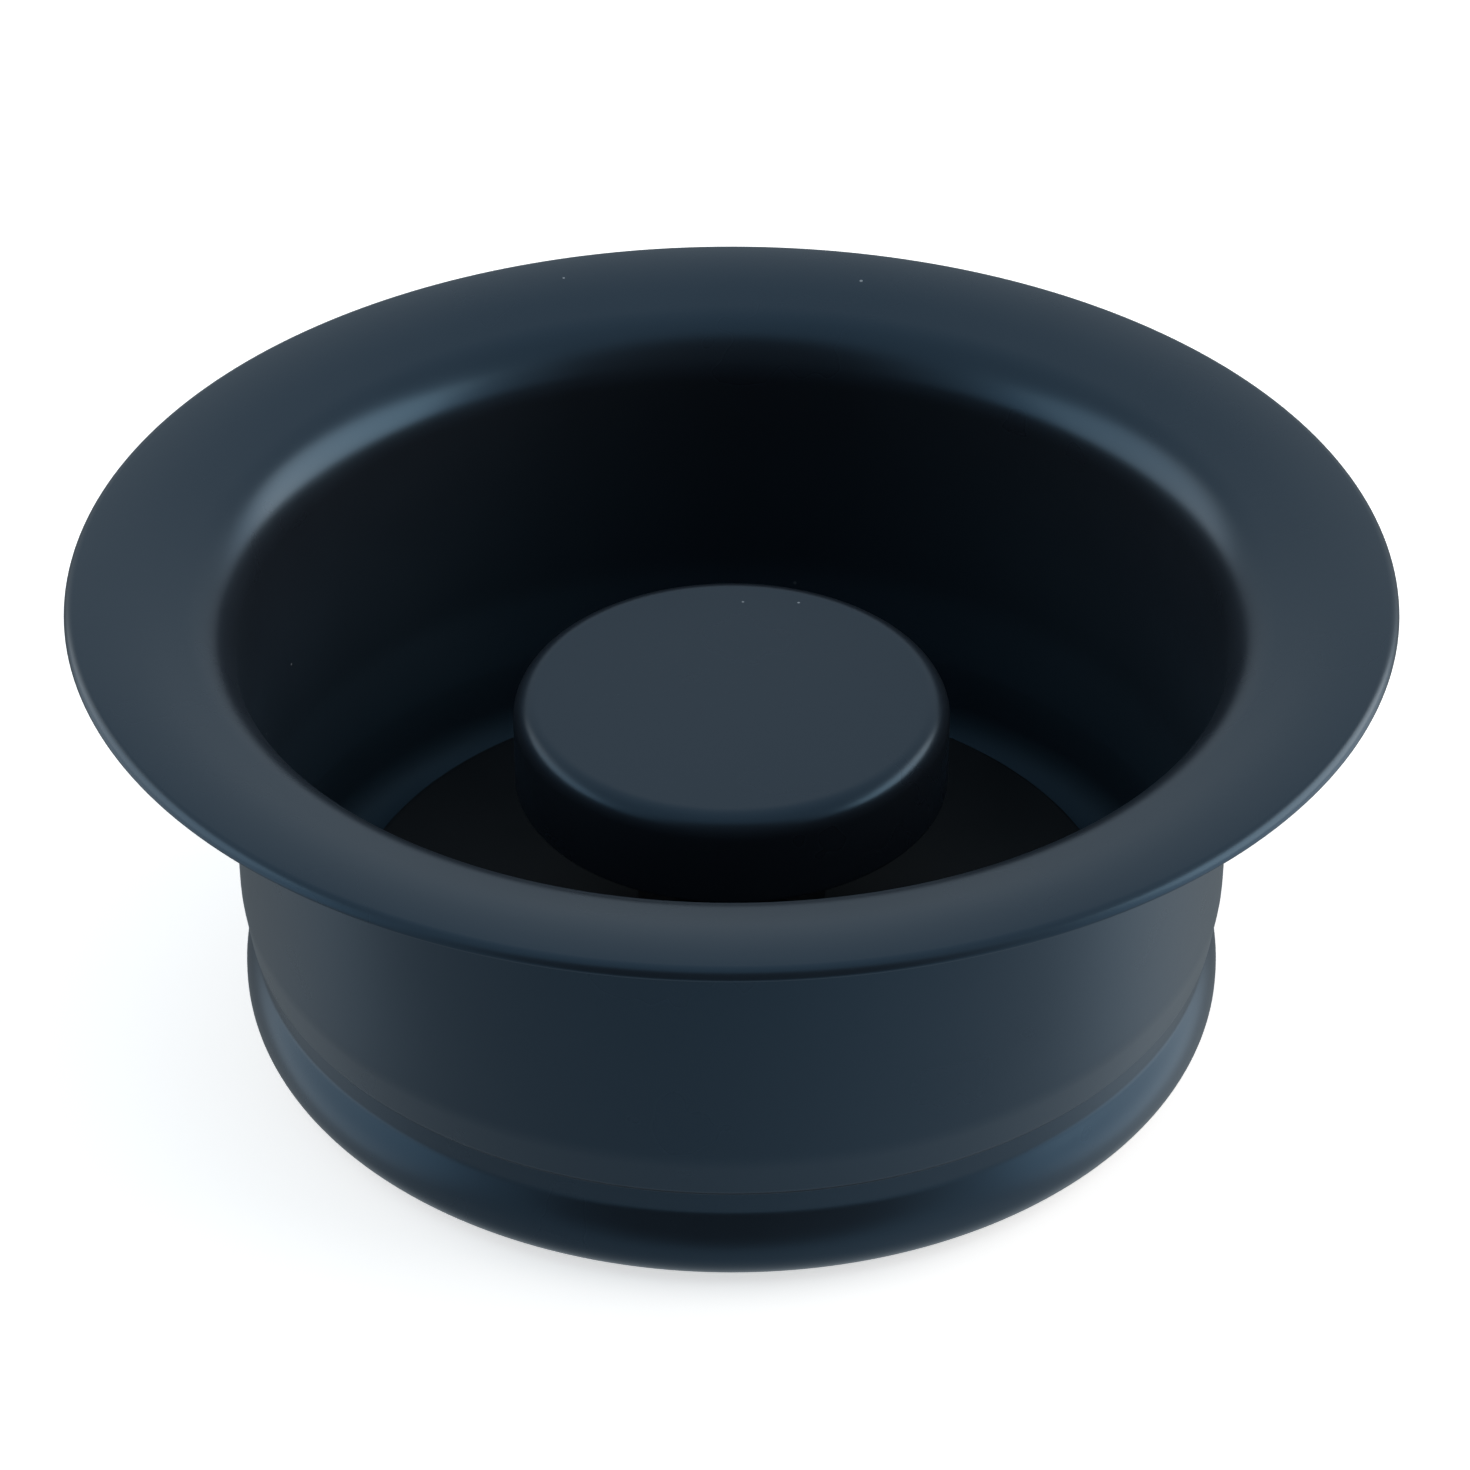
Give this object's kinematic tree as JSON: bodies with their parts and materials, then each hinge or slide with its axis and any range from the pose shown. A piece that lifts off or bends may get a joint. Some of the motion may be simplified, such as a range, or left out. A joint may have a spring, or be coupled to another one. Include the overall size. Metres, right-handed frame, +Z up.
{
  "type": "garbage disposal sink flange with stopper",
  "caption": "Black coated sink flange of a kitchen garbage disposal, with a lift-out stopper that closes its drain hole.",
  "frame": {"origin": "middle of the flange's bottom, where the part stands", "axes": "+Z up along the flange's axis, out of the well; +X and +Y lie level and are alike"},
  "size_m": [0.1142, 0.1142, 0.0444],
  "materials": {
    "coated_steel": "satin black powder coat with a faint blue-grey cast",
    "black_plastic": "fine matte moulding",
    "seal_rubber": "soft matte rubber",
    "stainless_steel": "satin",
    "brass": "machined"
  },
  "bodies": {
    "flange": {"sink_flange": "coated_steel"},
    "seal": {"seal_ring": "seal_rubber"},
    "stopper": {"stopper_disc": "black_plastic", "seal_retainer": "black_plastic", "stem_sleeve": "black_plastic", "stem_o_ring": "seal_rubber", "knob_core": "black_plastic", "knob_cap": "coated_steel", "threaded_insert": "brass", "clamp_washer": "stainless_steel", "clamp_screw": "stainless_steel"}
  },
  "joints": [
    {"name": "stopper_lift", "type": "slide", "parent": "flange", "child": "seal", "axis": [0, 0, 1], "range_m": [0, 0.06]},
    {"name": "stopper_turn", "type": "hinge", "parent": "seal", "child": "stopper", "pos_m": [0, 0, 0.00665], "axis": [0, 0, 1], "continuous": true}
  ]
}
